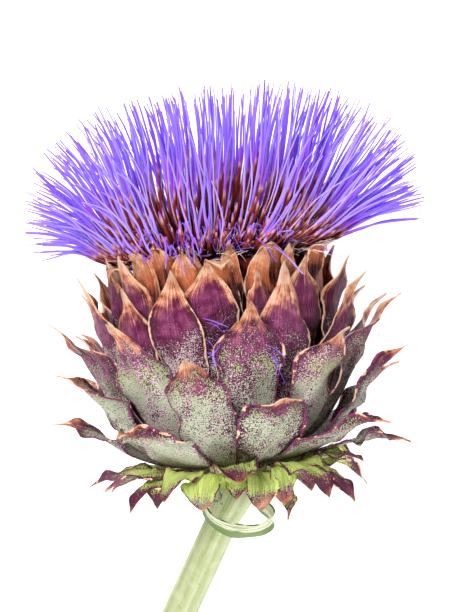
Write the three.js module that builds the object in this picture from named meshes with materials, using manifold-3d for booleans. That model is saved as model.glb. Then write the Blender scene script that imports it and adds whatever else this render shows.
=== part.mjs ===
// A cut cardoon (Cynara cardunculus): one thistle-like flower head on a short length of its stalk,
// laid down on its side. Millimetres, +Z up, the head's axis nearly along +Y.
//
// The head is built in a frame of its own, with its base at the origin, its axis along +Z and its
// front towards -Y. An azimuth of 0 is the front, +90 the right-hand side and 180 the underside, on
// which the head lies. The group that holds everything lays that frame down.
import * as THREE from "three";
import { mergeVertices } from "three/addons/utils/BufferGeometryUtils.js";
import Module from "manifold-3d";

const wasm = await Module();
wasm.setup();

// ---------------------------------------------------------------- driving dimensions

const AXIS_HEIGHT = 52; // the head's axis above the surface that it lies on
const HEAD_LEAN = 6; // degrees from +Y towards -X
const HEAD_BASE = [3.95, -7.15]; // where the head's base stands over the surface, X and Y

const GAP = 0.35; // between two pieces that touch on the plant
const BLADE_MARGIN = 0.65; // thickness of a bract at its margin
const BLADE_KEEL = 1.1; // and along its keel, which thins to the same at the tip
const BLADE_ROOT = 0.42; // width of a bract where it springs, as a share of its greatest width
const BLADE_TIP = 0.03; // and at its tip

const STALK_TOP = -4.35; // where the stalk meets the receptacle, below the head's base
const STALK_LENGTH = 112;
const STALK_LEAN = 29.3; // degrees from the head's axis, towards the left
const STALK_DROP = 24.9; // degrees from the level of the head's axis, down to the surface
const STALK_BEND = 11; // length over which the stalk's section turns that way
const STALK_NECK_R = 7;
const STALK_THIN_R = 4.5;
const STALK_CUT_R = 5.1;
const STALK_RIBS = 9;
const RIB_DEPTH = 0.45;

const STRAP_WIDTH = 4;
const STRAP_THICK = 0.7;

const FLORETS = 215;
const BED_TOP = 65; // height of the middle of the floret bed
const BED_R = 24.2;
const TUFT_CENTRE = [4, 69]; // middle of the ellipsoid that the floret tips lie on, X and height
const TUFT_R = 61;
const TUFT_RISE = 46;
const SPREAD_SIDE = 90; // degrees from the axis to the outermost florets at the sides
const SPREAD_FRONT = 54; // at the front, where they curve up
const SPREAD_UNDER = 70; // and underneath, where they meet the surface
const FLORET_RISE = 17; // length over which a floret leaves the bed, before it turns outwards
const FLORET_SWEEP = 22; // length over which it turns up again, before its tip
const FLORET_R = 0.75; // radius at the root of a three-sided floret

const FINEST = 0.05; // detail smaller than this is left out of a fused solid

const RADIANS = Math.PI / 180;
const GOLDEN_ANGLE = 137.508;

// ---------------------------------------------------------------- bracts

// Each ring of bracts springs from a collar round the receptacle. root and rise are the first two
// points of every keel in that ring, as radius and height.
const RINGS = {
  outer: { root: [14.5, -0.2], rise: [36, 0.5], collar: [11.9, 16.5, -1.7, 1.5] },
  middle: { root: [14, 3.8], rise: [37, 6], collar: [11.9, 16, 2.2, 5.4] },
  upper: { root: [13.5, 7.8], rise: [37, 12], collar: [11.9, 15.5, 6.2, 9.4] },
  crown: { root: [13.5, 11.8], rise: [36.5, 17], collar: [11.9, 15.5, 10.2, 13.4] },
  inner: { root: [13.5, 15.6], rise: [33.5, 22], collar: [11.9, 15.5, 14.1, 16.9] },
  reflexed: { root: [10, -4.4], rise: [20, -2.4], collar: [7.9, 11.5, -6, -2.1] },
};

// [azimuth, turn of the tip to the side, tip radius and height, bow radius and height, width, widest]
// bow is the third point of the keel, and widest the share of the length at which the blade is widest.
const OUTER = [
  [-97, 2, 55, 18, 38, 16, 17, 0.62],
  [-64, -6, 53.5, 33, 37, 27, 18, 0.64],
  [-36, -8, 47, 13.6, 38, 15, 21, 0.66],
  [-13, -2, 46, 31, 37, 29, 20, 0.7],
  [17, 4, 45, 19.5, 38, 19, 21.5, 0.68],
  [45, 16, 53, 9.5, 39, 12, 20, 0.62],
  [76, 3, 55.5, 31, 38, 24, 17, 0.62],
  [83, -6, 53, 2.5, 40, 7, 15, 0.6],
  [100, 0, 53, 26, 38, 22, 17, 0.62],
  [127, 3, 54, 14, 38, 13, 19, 0.64],
  [148, -3, 54, 30, 37, 26, 18, 0.64],
  [168, 0, 53.5, 12, 38, 12, 19.5, 0.64],
  [193, 3, 53.5, 30, 37, 26, 19, 0.64],
  [216, -2, 54, 12, 38, 13, 19, 0.64],
  [240, 2, 54, 31, 37, 25, 18, 0.64],
];
const MIDDLE = [
  [-97, 0, 53.5, 48, 36.5, 36, 18, 0.62],
  [-70, -4, 45, 44, 36, 36, 18, 0.64],
  [-42, -5, 46.5, 46, 35.5, 38, 19.5, 0.68],
  [9, 3, 40.5, 48.5, 35.5, 38, 19.5, 0.7],
  [40, 11, 46.5, 38.5, 35.5, 32, 20, 0.68],
  [71, 8, 54.5, 46.5, 36, 36, 18, 0.64],
  [108, 0, 53, 47, 36.5, 36, 19, 0.64],
  [143, -3, 52, 46, 36, 36, 20, 0.64],
  [180, 1, 53, 47, 36, 36, 20, 0.64],
  [216, 3, 52, 45, 36, 36, 20, 0.64],
  [242, 0, 50, 44, 36, 36, 18, 0.64],
];
const UPPER = [
  [-72, -2, 44, 61, 34, 45, 17, 0.72],
  [-47, -4, 37, 56, 34, 44, 16, 0.74],
  [-23.5, 0, 36.5, 59.8, 34, 45, 18, 0.74],
  [4, 2, 35, 54, 34, 44, 17, 0.74],
  [30, 4, 36, 59, 34, 44, 18, 0.74],
  [62, 10, 45, 54, 34, 41, 17, 0.72],
  [100, 0, 44, 50, 34, 42, 17, 0.7],
  [128, 3, 43, 60, 34, 45, 18, 0.72],
  [156, -2, 42, 56, 34, 44, 18, 0.72],
  [184, 0, 43, 60, 34, 45, 18, 0.72],
  [212, 2, 43, 56, 34, 44, 18, 0.72],
  [240, 0, 42, 60, 34, 44, 18, 0.72],
  [264, 0, 42, 56, 34, 44, 17, 0.72],
];
const CROWN = [
  [-107, -4, 40, 62, 31.5, 47, 15.5, 0.74],
  [-78, 3, 34, 66, 31.5, 51, 14, 0.74],
  [-48, -6, 35, 65.5, 31.5, 51, 16, 0.74],
  [-24, 0, 32.5, 60, 31.5, 48, 14, 0.72],
  [0, 0, 33.5, 63.8, 31.5, 49, 17.5, 0.76],
  [24, 0, 33, 60, 31.5, 48, 14, 0.72],
  [47, 0, 34.5, 61.5, 31.5, 48, 16, 0.76],
  [76, -3, 41.5, 59.5, 31.5, 46, 15.5, 0.74],
  [106, 3, 38, 63, 31.5, 47, 16, 0.74],
  [136, -2, 36, 64, 31.5, 49, 17, 0.74],
  [166, 2, 37, 62, 31.5, 48, 17, 0.74],
  [196, 0, 35, 65, 31.5, 49, 17, 0.74],
  [226, -3, 38, 63, 31.5, 48, 17, 0.74],
];
const REFLEXED = [
  [-80, -3, 45, -2, 34, 4, 12, 0.6],
  [-58, -6, 44, -3, 33, 5, 15, 0.6],
  [-48, -8, 39, -9, 32, 3, 13, 0.6],
  [-36, -2, 36, -8, 30, 2, 11, 0.6],
  [-24, 0, 26, -13.5, 26, -1, 13, 0.62],
  [-4, 4, 39, -4, 31, 3.5, 14.5, 0.6],
  [-3, 0, 17.5, -9, 20, -1, 7, 0.66],
  [15, 2, 26, -15.5, 26, -1, 10, 0.6],
  [29, 2, 27, -13.5, 26, -1, 8.5, 0.6],
  [40, 3, 38.5, -10.5, 32, 4, 12.5, 0.6],
  [53, 2, 40, -13, 32, 3, 11, 0.6],
  [68, 0, 40, -2, 33, 4, 12, 0.6],
  [92, 2, 38, -10, 31, 3, 12, 0.6],
  [116, 0, 40, -4, 32, 4, 13, 0.6],
  [140, 0, 34, -12, 29, 1, 13, 0.6],
  [164, 3, 38, -6, 32, 4, 13, 0.6],
  [188, 0, 30, -13, 28, 0, 13, 0.6],
  [212, -2, 39, -6, 32, 4, 13, 0.6],
  [236, 0, 32, -12, 29, 1, 13, 0.6],
  [259, 0, 40, -5, 32, 4, 12, 0.6],
];
const INNER_COUNT = 18;

// ---------------------------------------------------------------- small helpers

const lerp = THREE.MathUtils.lerp;
const smoothstep = THREE.MathUtils.smoothstep;

/** A repeatable draw from -1 to 1 for item number item and use number use. */
function draw(item, use) {
  const wave = Math.sin(item * 127.1 + use * 311.7) * 43758.5453;
  return 2 * (wave - Math.floor(wave)) - 1;
}

/** A point in the head's frame from a radius, an azimuth in degrees and a height. */
function around(radius, azimuth, height) {
  const turn = azimuth * RADIANS;
  return new THREE.Vector3(radius * Math.sin(turn), -radius * Math.cos(turn), height);
}

/** Moves every vertex of a geometry to shape(x, y, z). */
function reshape(geometry, shape) {
  const place = geometry.attributes.position;
  for (let i = 0; i < place.count; i++) {
    const moved = shape(place.getX(i), place.getY(i), place.getZ(i));
    place.setXYZ(i, moved.x, moved.y, moved.z);
  }
  return geometry;
}

/** A closed geometry as a manifold-3d solid. */
function solidOf(geometry) {
  const bare = geometry.clone();
  bare.deleteAttribute("normal");
  bare.deleteAttribute("uv");
  const merged = mergeVertices(bare, 1e-4);
  return new wasm.Manifold(
    new wasm.Mesh({
      numProp: 3,
      vertProperties: Float32Array.from(merged.attributes.position.array),
      triVerts: Uint32Array.from(merged.index.array),
    }),
  );
}

/** A named mesh from a solid. */
function meshOf(name, solid, colour, roughness) {
  const { numProp, vertProperties, triVerts } = solid.getMesh();
  const geometry = new THREE.BufferGeometry();
  geometry.setAttribute("position", new THREE.BufferAttribute(vertProperties, numProp));
  geometry.setIndex(new THREE.BufferAttribute(triVerts, 1));
  geometry.computeVertexNormals();
  const material = new THREE.MeshStandardMaterial({ color: colour, roughness, metalness: 0 });
  const mesh = new THREE.Mesh(geometry, material);
  mesh.name = name;
  return mesh;
}

/** The largest body of a solid, without the scraps that a cut left loose. */
function mainBody(solid) {
  return solid.decompose().reduce((best, body) => (body.volume() > best.volume() ? body : best));
}

// ---------------------------------------------------------------- one bract

/** A blade's keel at share s of its length: radius, height and the normal to its outer face. */
function keelAt(bract, s) {
  const t = 1 - s;
  const weights = [t * t * t, 3 * t * t * s, 3 * t * s * s, s * s * s];
  const pull = [3 * t * t, 6 * t * s, 3 * s * s];
  const points = [bract.root, bract.rise, bract.bow, bract.tip];
  const mix = (axis) => weights.reduce((sum, weight, i) => sum + weight * points[i][axis], 0);
  const slope = (axis) =>
    pull.reduce((sum, weight, i) => sum + weight * (points[i + 1][axis] - points[i][axis]), 0);
  const length = Math.hypot(slope(0), slope(1));
  return { radius: mix(0), height: mix(1), out: [slope(1) / length, -slope(0) / length] };
}

/** Half the width of a blade at share s of its length, from a broad root by its widest place to the tip. */
function halfWidth(bract, s) {
  const below = Math.sin((Math.PI / 2) * Math.min(1, s / bract.widest));
  const above = Math.max(0, (s - bract.widest) / (1 - bract.widest));
  const share = (BLADE_ROOT + (1 - BLADE_ROOT) * below) * (1 - above ** bract.round);
  return (bract.width / 2) * Math.max(BLADE_TIP, share);
}

/** A point of a blade. s runs from root to tip, v from margin to margin (-1 to 1), and depth inwards. */
function bladePoint(bract, s, v, depth, grown = 0) {
  const keel = keelAt(bract, s);
  const half = halfWidth(bract, s) + grown;
  const inward = depth + bract.cup * half * v * v * smoothstep(s, 0.35, 0.9);
  const azimuth = bract.azimuth + bract.turn * smoothstep(s, 0.3, 1);
  const spread = (v * half) / Math.max(keel.radius, 9) / RADIANS;
  return around(
    keel.radius - keel.out[0] * inward,
    azimuth + spread,
    keel.height - keel.out[1] * inward,
  );
}

/** One bract as a solid. grown thickens it on all sides, for cutting room for it in another piece. */
function blade(bract, along, grown = 0) {
  const box = new THREE.BoxGeometry(2, 1, 1, 2, along, 1);
  return solidOf(
    reshape(box, (x, y, z) => {
      const s = 1 - (0.5 - y) ** 1.4;
      const keel = lerp(BLADE_KEEL, BLADE_MARGIN, s);
      const thick = lerp(keel, BLADE_MARGIN, Math.abs(x));
      const depth = lerp(thick + grown, -grown, z + 0.5);
      return bladePoint(bract, s, x, depth, grown);
    }),
  );
}

/** A ring of bracts from its table. */
function ringOf(ring, table, cup, round) {
  return table.map(([azimuth, turn, tipR, tipH, bowR, bowH, width, widest]) => ({
    ...ring,
    azimuth,
    turn,
    tip: [Math.min(tipR, (AXIS_HEIGHT - 0.1) / Math.max(0.5, -Math.cos(azimuth * RADIANS))), tipH],
    bow: [bowR, bowH],
    width,
    widest,
    cup,
    round,
  }));
}

/** The papery innermost bracts, evenly round the florets, each a little different. */
function innerBracts() {
  return Array.from({ length: INNER_COUNT }, (_, i) => ({
    ...RINGS.inner,
    azimuth: (360 * i) / INNER_COUNT + 4 * draw(i, 1),
    turn: 3 * draw(i, 2),
    tip: [30.8 + draw(i, 3), 64.4 + 1.4 * draw(i, 4)],
    bow: [27.4, 52],
    width: 12 + draw(i, 5),
    widest: 0.66,
    cup: 0.1,
    round: 1.6,
  }));
}

/** The collar that a ring's bracts grow from. */
function collar([inside, outside, low, high]) {
  const corners = [
    [inside, low],
    [outside, low],
    [outside, high],
    [inside, high],
    [inside, low],
  ];
  return latheSolid(corners, 20);
}

/** A solid of revolution about the head's axis from [radius, height] corners, outline counter-clockwise. */
function latheSolid(corners, sides) {
  const profile = corners.map(([radius, height]) => new THREE.Vector2(radius, height));
  return solidOf(new THREE.LatheGeometry(profile, sides).rotateX(Math.PI / 2));
}

// ---------------------------------------------------------------- the florets

/** Degrees from the axis to the outermost florets at an azimuth. */
function spreadAt(azimuth) {
  const facing = Math.cos(azimuth * RADIANS);
  return lerp(SPREAD_SIDE, facing > 0 ? SPREAD_FRONT : SPREAD_UNDER, facing ** 2);
}

/** Path of floret i: it rises from the bed over the rim of bracts, leans out and curves up to its tip. */
function floretPath(i) {
  const share = (i + 0.5) / FLORETS;
  const azimuth = i * GOLDEN_ANGLE + 4 * draw(i, 11);
  const reach = Math.sin((spreadAt(azimuth) / 2) * RADIANS);
  const slant = (2 * Math.asin(reach * Math.sqrt(share))) / RADIANS + 2.5 * draw(i, 12);
  const curl = 16 * Math.sin(2 * slant * RADIANS);
  const size = 1 - 0.05 * (1 + draw(i, 13));
  const aim = (angle, length) =>
    around(length * Math.sin(angle * RADIANS), azimuth, length * Math.cos(angle * RADIANS));
  const root = around((BED_R - 2) * Math.sqrt(share), azimuth, BED_TOP - 1 - 3 * share);
  const tip = aim(slant, size);
  tip.set(TUFT_R * tip.x + TUFT_CENTRE[0], TUFT_R * tip.y, TUFT_RISE * tip.z + TUFT_CENTRE[1]);
  const leave = root.clone().add(aim(Math.min(1.35 * slant, 50), FLORET_RISE));
  const arrive = tip.clone().sub(aim(slant - curl, FLORET_SWEEP));
  return new THREE.CubicBezierCurve3(root, leave, arrive, tip);
}

/** Keeps a floret's middle line off the surface that the head lies on. */
function pressed(point, radius) {
  const deepest = AXIS_HEIGHT - 0.05 - radius;
  if (point.y > deepest) point.y = deepest;
  return point;
}

/** One floret: a slim three-sided needle along its path. */
function floret(i) {
  const path = floretPath(i);
  const needle = new THREE.ConeGeometry(1, 1, 3, 3).rotateX(Math.PI / 2);
  const side = new THREE.Vector3();
  const across = new THREE.Vector3();
  return solidOf(
    reshape(needle, (x, y, z) => {
      const s = z + 0.5;
      const along = path.getTangent(s);
      side.crossVectors(along, new THREE.Vector3(0.31, 0.47, 0.83)).normalize();
      across.crossVectors(along, side);
      const radius = s < 1 ? lerp(FLORET_R, 0.42, s) : 0;
      const swell = s < 1 ? radius / (1 - s) : 0;
      return pressed(path.getPoint(s), radius)
        .addScaledVector(side, x * swell)
        .addScaledVector(across, y * swell);
    }),
  );
}

// ---------------------------------------------------------------- stalk and its leaf

/** The stalk's middle line and the normal to its section at a distance along it. */
function stalkAt(distance) {
  const lean = STALK_LEAN * RADIANS;
  const drop = STALK_DROP * RADIANS;
  const end = new THREE.Vector3(
    -Math.sin(lean) * Math.cos(drop),
    Math.sin(drop),
    -Math.cos(lean) * Math.cos(drop),
  );
  const down = new THREE.Vector3(0, 0, -1);
  const along = down.lerp(end, smoothstep(distance, 0, STALK_BEND)).normalize();
  const place = new THREE.Vector3(0, 0, STALK_TOP).addScaledVector(end, distance);
  return { place, along };
}

/** The ribbed stalk, wider where it carries the head, cut square at its end. */
function stalk(grown = 0) {
  const sides = 2 * STALK_RIBS;
  const tube = new THREE.CylinderGeometry(1, 1, 1, sides, 10).rotateX(Math.PI / 2);
  return solidOf(
    reshape(tube, (x, y, z) => {
      const distance = STALK_LENGTH * (0.5 - z) ** 1.6;
      const { place, along } = stalkAt(distance);
      const neck = lerp(STALK_NECK_R, STALK_THIN_R, smoothstep(distance, 0, 16));
      const radius = neck + (STALK_CUT_R - STALK_THIN_R) * (distance / STALK_LENGTH) + grown;
      const angle = Math.atan2(y, x);
      const rib = (RIB_DEPTH / 2) * Math.cos(STALK_RIBS * angle);
      const size = Math.hypot(x, y) * (radius + rib);
      const side = new THREE.Vector3(0, 1, 0).cross(along).negate().normalize();
      const over = new THREE.Vector3().crossVectors(side, along).normalize();
      return place
        .addScaledVector(side, size * Math.cos(angle))
        .addScaledVector(over, size * Math.sin(angle));
    }),
  );
}

// Points that the strap leaf passes: across, towards the back and up, from the stalk's neck.
const STRAP = [
  [1.5, -5, -7],
  [4.8, -9, -11.6],
  [8.4, -12, -16.6],
  [5.8, -13.6, -19.4],
  [0.9, -14.4, -20],
  [-4, -14.4, -19],
  [-9.2, -13.2, -15.6],
  [-10.6, -11.6, -11],
  [-9, -10.4, -8.4],
  [-6.6, -10.6, -8.6],
  [-6.2, -11.4, -10.6],
];

/** The narrow leaf below the head: a strap that turns back on itself and coils at its end. */
function strapLeaf() {
  const path = new THREE.CatmullRomCurve3(STRAP.map((point) => new THREE.Vector3(...point)));
  const strip = new THREE.BoxGeometry(1, 1, 1, 1, 18, 1);
  const face = new THREE.Vector3();
  return solidOf(
    reshape(strip, (x, y, z) => {
      const s = y + 0.5;
      const along = path.getTangent(s);
      const width = new THREE.Vector3(0.15, -0.75, 0.65);
      width.addScaledVector(along, -width.dot(along)).normalize();
      face.crossVectors(width, along);
      const wide = STRAP_WIDTH * (1 - 0.45 * s ** 3);
      return path
        .getPoint(s)
        .addScaledVector(width, x * wide)
        .addScaledVector(face, z * STRAP_THICK - 0.25 * Math.abs(x) * wide);
    }),
  );
}

// ---------------------------------------------------------------- assembly

const belowSurface = solidOf(new THREE.BoxGeometry(400, 100, 400).translate(0, AXIS_HEIGHT + 50, 0));

/** Fuses solids in one body and cuts off what would reach into the surface. */
function fused(...solids) {
  return mainBody(wasm.Manifold.union(solids.flat()).subtract(belowSurface));
}

/** Solids that stand clear of a ring's bracts, to cut room for it. */
function room(bracts, along) {
  return wasm.Manifold.union(bracts.map((bract) => blade(bract, along, GAP)));
}

const outer = ringOf(RINGS.outer, OUTER, 0.12, 2);
const middle = ringOf(RINGS.middle, MIDDLE, 0.14, 1.6);
const upper = ringOf(RINGS.upper, UPPER, 0.16, 1.3);
const crown = ringOf(RINGS.crown, CROWN, 0.16, 1.2);
const inner = innerBracts();
const reflexed = ringOf(RINGS.reflexed, REFLEXED, 0.1, 1.5);

const receptacle = latheSolid(
  [
    [0, STALK_TOP + GAP],
    [7.2, STALK_TOP + GAP],
    [7.5, -1.4],
    [11.5, -0.6],
    [11.5, 17.5],
    [16.5, 20.4],
    [17, 21.6],
    [0, 22],
  ],
  24,
);
const bed = latheSolid(
  [
    [0, 22.4],
    [18.5, 22.2],
    [21.6, 34],
    [23.4, 48],
    [24.2, 58],
    [BED_R, BED_TOP - 4],
    [0, BED_TOP],
  ],
  18,
);

const head = new THREE.Group();
head.position.set(HEAD_BASE[0], HEAD_BASE[1], AXIS_HEIGHT);
head.rotation.set(-Math.PI / 2, 0, HEAD_LEAN * RADIANS, "ZYX");

function add(name, solid, colour, roughness) {
  head.add(meshOf(name, solid, colour, roughness));
}

const rows = [
  ["reflexed_bracts", reflexed, RINGS.reflexed, 3, 0x9aa84e],
  ["outer_bracts", outer, RINGS.outer, 4, 0x9ba38b],
  ["middle_bracts", middle, RINGS.middle, 4, 0x8f8085],
  ["upper_bracts", upper, RINGS.upper, 4, 0x7c3f63],
  ["crown_bracts", crown, RINGS.crown, 4, 0x7f4752],
  ["inner_bracts", inner, RINGS.inner, 3, 0xa8672f],
];
const outside = [stalk(GAP)];
for (const [name, bracts, ring, along, colour] of rows) {
  const whole = fused(collar(ring.collar), bracts.map((bract) => blade(bract, along)));
  add(name, mainBody(whole.subtract(wasm.Manifold.union(outside))).simplify(FINEST), colour, 0.7);
  outside.push(room(bracts, along));
}
const taken = wasm.Manifold.union(outside);
const tuft = fused(bed, Array.from({ length: FLORETS }, (_, i) => floret(i)));
add("receptacle", mainBody(receptacle.subtract(taken)).simplify(FINEST), 0xc9c7a0, 0.7);
add("florets", mainBody(tuft.subtract(taken)).simplify(FINEST), 0x7a5ae0, 0.6);
add("stalk", fused(stalk()), 0xb9c48c, 0.6);
add("stalk_leaf", mainBody(strapLeaf().subtract(taken)), 0x9fae84, 0.6);

const cardoon = new THREE.Group();
cardoon.name = "cardoon";
cardoon.add(head);

export default cardoon;
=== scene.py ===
"""A cut cardoon flower head on its side: rows of bracts, a tuft of florets, a stalk and a small leaf.

The head has a frame of its own, in millimetres: its base is the origin, its axis +Z and its front -Y. An
azimuth of 0 is the front, +90 the right-hand side and 180 the underside. laid() turns that frame to the
part's, in metres, in which the head lies with its axis nearly along +Y and its front up.
"""

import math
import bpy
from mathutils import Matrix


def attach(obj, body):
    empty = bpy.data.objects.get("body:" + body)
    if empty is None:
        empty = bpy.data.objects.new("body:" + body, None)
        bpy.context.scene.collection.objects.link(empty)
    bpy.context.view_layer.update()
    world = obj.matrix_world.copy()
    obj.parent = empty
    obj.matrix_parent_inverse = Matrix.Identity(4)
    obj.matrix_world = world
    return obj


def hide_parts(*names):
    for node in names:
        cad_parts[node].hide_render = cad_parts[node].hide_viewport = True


bl_info = {
    "name": "Cardoon Flower Head",
    "version": (1, 0, 0),
    "blender": (4, 5, 0),
    "location": "View3D > Sidebar > Cardoon",
    "description": "Dresses a cut cardoon flower head with bracts, florets, a stalk and its leaf",
    "category": "Add Mesh",
}

from collections import namedtuple

import bpy
import mathutils
import numpy as np
from bpy.props import FloatProperty, FloatVectorProperty, IntProperty, PointerProperty

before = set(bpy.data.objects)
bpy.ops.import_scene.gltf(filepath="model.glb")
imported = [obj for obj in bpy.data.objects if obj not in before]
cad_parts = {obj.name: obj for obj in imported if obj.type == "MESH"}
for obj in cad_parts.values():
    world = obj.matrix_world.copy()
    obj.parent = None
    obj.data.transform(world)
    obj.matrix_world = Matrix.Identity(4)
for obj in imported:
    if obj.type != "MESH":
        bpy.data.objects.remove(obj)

MM = 0.001
SMOOTH_ANGLE = math.radians(50)
ROUND_SIDES = 64
COLLAR_SIDES = 48
FLOOR_SIZE = 6

# How the head lies: the height of its axis, its lean and where its base is, across and along. Nothing
# comes closer to the floor than the gap.
AXIS_HEIGHT = 52
HEAD_LEAN = math.radians(6)
HEAD_BASE = (3.95, -7.15)
FLOOR_GAP = 0.05

# A bract's faces along and across, how wide its very tip stays, as a share of its width, and the least
# radius that it is wrapped round. Then the number of bracts in the inner row.
BLADE_FACES = (28, 12)
BLADE_TIP = 0.008
BLADE_LEAST_R = 9
INNER_COUNT = 36

# The stalk leans to the left and drops to the floor. It is thickest at its neck, below the head.
STALK_FACES = (180, 60)
STALK_TOP = -4.35
STALK_LENGTH = 112
STALK_LEAN = math.radians(29.3)
STALK_DROP = math.radians(24.9)
STALK_BEND = 11
STALK_NECK = 16
STALK_NECK_R = 7
STALK_THIN_R = 4.8
STALK_CUT_R = 5.3
STALK_RIBS = 9

# The florets stand in a round bed. Their tips lie on an ellipsoid, and the spreads are the angles from
# its axis to the outermost tips. A floret keeps to its first direction for its rise and to its last one
# for its sweep. In front, those that face up by more than a share and stand further out than another
# share have mostly shed all above their throats.
BED_TOP = 65
BED_R = 24.2
TUFT_CENTRE = (4, 69)
TUFT_R = 61
TUFT_RISE = 46
TUFT_FRONT = 47
TUFT_GAP = 0.7
SPREAD_SIDE = 90
SPREAD_FRONT = 67
SPREAD_UNDER = 70
FLORET_RISE = 20
FLORET_SWEEP = 22
THROAT = 0.4
SHED_FACING = 0.3
SHED_SHARE = 0.22
GOLDEN_ANGLE = 137.508

# Where the curled threads and the bristles stand round the rim, as radius and height.
CURLS_AT = (29, 67.6)
BRISTLES_AT = (27, 63)

# A direction that no thread follows, from which a thread's section takes its sides.
ASLANT = (0.31, 0.47, 0.83)

# The camera's frame: its size in pixels, millimetres to a pixel and the pixel where the head's base is.
VIEW_SIZE = (459, 612)
PIXEL = 0.3
BASE_IN_VIEW = (238, 465)
SENSOR = 36

# Where the lights hang, in metres from the middle of the view and above the floor.
KEY_PLACE = (-0.4, 0.35, 0.95)
SIDE_PLACE = (0.25, -0.75, 0.5)
LIGHT_SIZE = 0.5


# ---------------- the tables of bracts


# A ring of bracts. root and rise are the first two corners of its keels, as radius and height. collar
# holds its collar's inner and outer radius and its lowest and highest height. cup is how hollow a blade
# is, foot its width at the root, as a share, and round how blunt its end is. waist is how much width is
# left where the end is drawn in, and lip how far the tip curls.
Row = namedtuple("Row", "root rise collar cup foot round waist lip bracts")

# One bract, with the turn of its tip and the radius and height of its tip and of its bow. widest is where
# it is widest, as a share of its length. fresh is how green its skin is, from 0 for mostly purple to 1.5
# for all green.
Bract = namedtuple("Bract", "azimuth turn tip_r tip_h bow_r bow_h width widest fresh", defaults=[0.5])


def ring_of(*bracts):
    """Bracts from tuples of their numbers."""
    return [Bract(*numbers) for numbers in bracts]


OUTER = ring_of(
    (-97, 2, 55, 18, 38, 16, 17, 0.62),
    (-64, -6, 53.5, 33, 37, 27, 18, 0.64, 0.7),
    (-36, -8, 47, 13.6, 38, 15, 21, 0.66, 1.1),
    (-13, -3, 43.5, 34, 38.4, 26.5, 20, 0.68, 0.75),
    (17, 4, 45, 19.5, 38, 19, 21.5, 0.68, 0.45),
    (45, 16, 53, 9.5, 39, 12, 20, 0.62, 0.75),
    (76, 3, 55.5, 31, 38, 24, 17, 0.62),
    (83, -6, 53, 2.5, 40, 7, 15, 0.6),
    (100, 0, 53, 26, 38, 22, 17, 0.62),
    (127, 3, 54, 14, 38, 13, 19, 0.64),
    (148, -3, 54, 30, 37, 26, 18, 0.64),
    (168, 0, 53.5, 12, 38, 12, 19.5, 0.64),
    (193, 3, 53.5, 30, 37, 26, 19, 0.64),
    (216, -2, 54, 12, 38, 13, 19, 0.64),
    (240, 2, 54, 31, 37, 25, 18, 0.64),
)
MIDDLE = ring_of(
    (-97, 0, 53.5, 48, 36.5, 36, 18, 0.62),
    (-70, -4, 45, 44, 36, 36, 18, 0.64),
    (-42, -5, 46.5, 46, 35.5, 38, 19.5, 0.68, 1.0),
    (9, 3, 40.5, 48.5, 35.5, 38, 19.5, 0.7, 0.75),
    (40, 11, 46.5, 38.5, 35.5, 32, 20, 0.68, 1.0),
    (71, 8, 54.5, 46.5, 36, 36, 18, 0.64),
    (108, 0, 53, 47, 36.5, 36, 19, 0.64),
    (143, -3, 52, 46, 36, 36, 20, 0.64),
    (180, 1, 53, 47, 36, 36, 20, 0.64),
    (216, 3, 52, 45, 36, 36, 20, 0.64),
    (242, 0, 50, 44, 36, 36, 18, 0.64),
)
UPPER = ring_of(
    (-72, -2, 44, 61, 34, 45, 17, 0.72),
    (-47, -4, 37, 56, 34, 44, 16, 0.74),
    (-23.5, 0, 36.5, 59.8, 34, 45, 16.4, 0.72),
    (4, 2, 34.5, 43, 34, 38, 14, 0.74),
    (30, 4, 36, 59, 34, 44, 17.4, 0.72, 0.2),
    (62, 10, 45, 54, 34, 41, 17, 0.72),
    (100, 0, 44, 50, 34, 42, 17, 0.7),
    (128, 3, 43, 60, 34, 45, 18, 0.72),
    (156, -2, 42, 56, 34, 44, 18, 0.72),
    (184, 0, 43, 60, 34, 45, 18, 0.72),
    (212, 2, 43, 56, 34, 44, 18, 0.72),
    (240, 0, 42, 60, 34, 44, 18, 0.72),
    (264, 0, 42, 56, 34, 44, 17, 0.72),
)
CROWN = ring_of(
    (-107, -4, 40, 62, 31.5, 47, 15.5, 0.74),
    (-78, 3, 34, 66, 31.5, 51, 14, 0.74),
    (-48, -6, 35, 65.5, 31.5, 51, 16, 0.74),
    (-24, 0, 31.5, 58, 31.5, 48, 13, 0.7),
    (-6, 0, 33.5, 61.4, 31.5, 49, 17.5, 0.74),
    (22, 0, 31.5, 57.5, 31.5, 48, 12, 0.7),
    (47, 0, 34.5, 60, 31.5, 48, 16, 0.76),
    (76, -3, 41.5, 59.5, 31.5, 46, 15.5, 0.74),
    (106, 3, 38, 63, 31.5, 47, 16, 0.74),
    (136, -2, 36, 64, 31.5, 49, 17, 0.74),
    (166, 2, 37, 62, 31.5, 48, 17, 0.74),
    (196, 0, 35, 65, 31.5, 49, 17, 0.74),
    (226, -3, 38, 63, 31.5, 48, 17, 0.74),
)
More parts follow.
